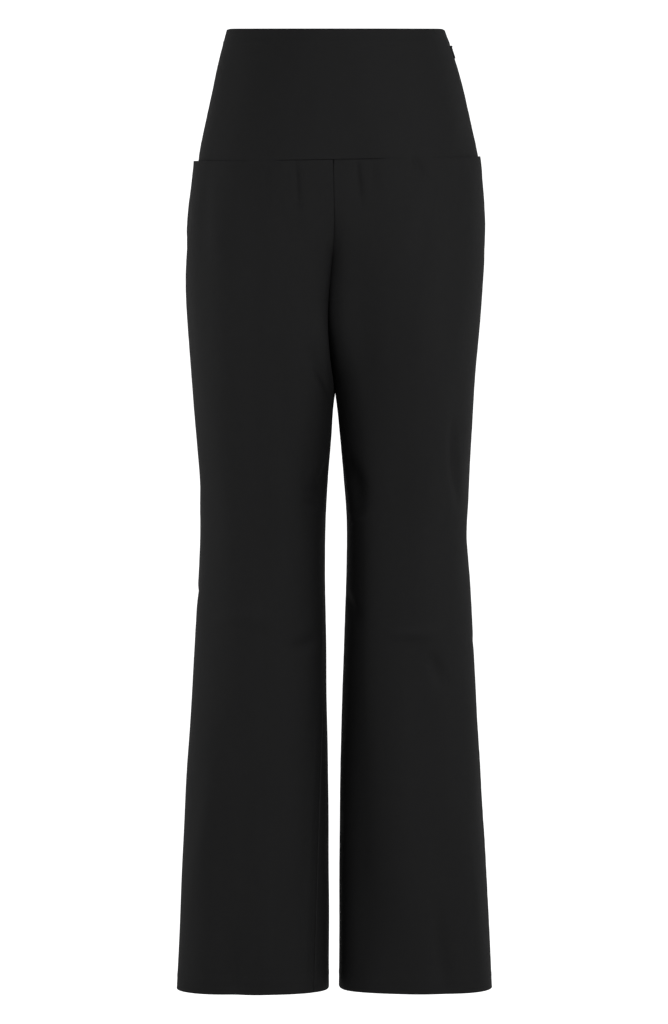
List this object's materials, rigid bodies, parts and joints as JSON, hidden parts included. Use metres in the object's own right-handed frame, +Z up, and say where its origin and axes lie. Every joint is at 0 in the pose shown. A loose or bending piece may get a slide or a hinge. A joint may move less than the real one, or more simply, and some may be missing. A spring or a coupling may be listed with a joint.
{
  "type": "straight-leg trousers",
  "caption": "Black straight-leg trousers in their hollow worn shape, with a deep plain hip yoke, pockets set in the yoke seam and a concealed side zip.",
  "frame": {"origin": "middle of the waist opening, level with the waist edge at the side seams, where the wearer's waist holds the trousers up", "axes": "+Z up through the waist opening, -Y to the wearer's front, +X to the wearer's left"},
  "size_m": [0.3633, 0.2313, 1.1121],
  "materials": {
    "cloth": "matt black plain weave with a faint sheen",
    "pocketing": "matt black fine plain weave",
    "zip_tape": "matt black woven tape",
    "zip_metal": "satin black lacquered metal"
  },
  "bodies": {
    "trousers": {"yoke_front": "cloth", "yoke_back": "cloth", "leg_front_right": "cloth", "leg_front_left": "cloth", "leg_back_right": "cloth", "leg_back_left": "cloth", "pocket_back_right": "pocketing", "pocket_back_left": "pocketing", "zip_tape": "zip_tape", "zip_slider": "zip_metal"},
    "zip_pull": {"zip_pull": "zip_metal"}
  },
  "joints": [
    {"name": "zip_pull_swing", "type": "hinge", "parent": "trousers", "child": "zip_pull", "pos_m": [0.13439, -0.01137, -0.02282], "axis": [-0.1571, -0.9832, -0.0926], "range_deg": [0, 165]}
  ]
}
